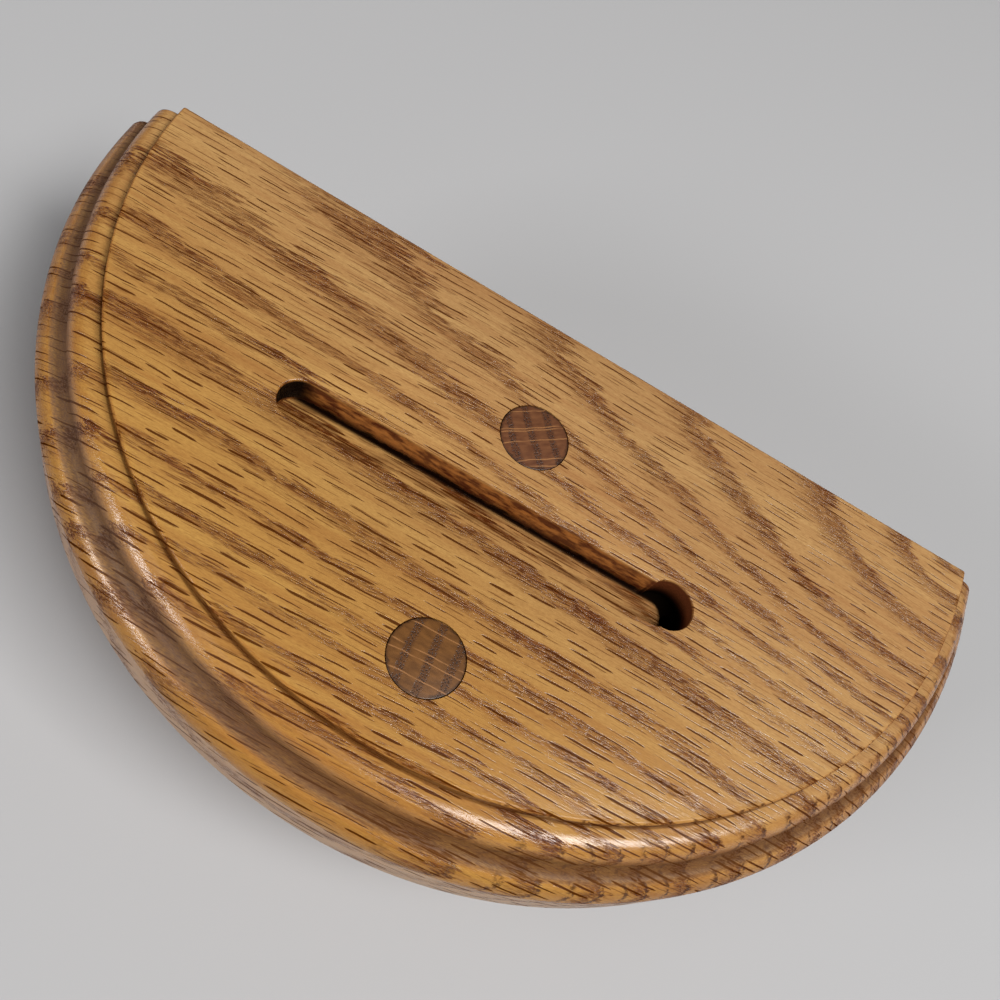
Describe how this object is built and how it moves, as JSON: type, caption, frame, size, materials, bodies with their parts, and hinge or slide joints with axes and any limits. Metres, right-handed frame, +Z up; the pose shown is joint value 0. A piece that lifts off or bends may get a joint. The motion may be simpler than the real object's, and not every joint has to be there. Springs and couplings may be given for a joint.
{
  "type": "picture frame stand",
  "caption": "Half-round wooden stand with a moulded curved edge, a long slot in the top that holds a picture frame upright, and flush plugs over its screws.",
  "frame": {"origin": "middle of the plan's bounding box, at the surface that the pads rest on", "axes": "+X along the straight back edge, +Y from the curved front to the back edge, +Z up"},
  "size_m": [0.15, 0.075, 0.0407],
  "materials": {
    "board_oak": "red oak, long grain along the back edge, golden stain under satin varnish",
    "plug_oak": "oak end grain, stained darker than the board, satin varnish",
    "foot_oak": "oak, golden stain under satin varnish",
    "screw_steel": "zinc-plated wood screw",
    "felt": "dark felt"
  },
  "bodies": {
    "root": {"top_board": "board_oak", "plug_rear": "plug_oak", "plug_front": "plug_oak", "screw_rear": "screw_steel", "screw_front": "screw_steel", "foot_block": "foot_oak", "pad_left": "felt", "pad_right": "felt", "pad_front": "felt"}
  },
  "joints": []
}
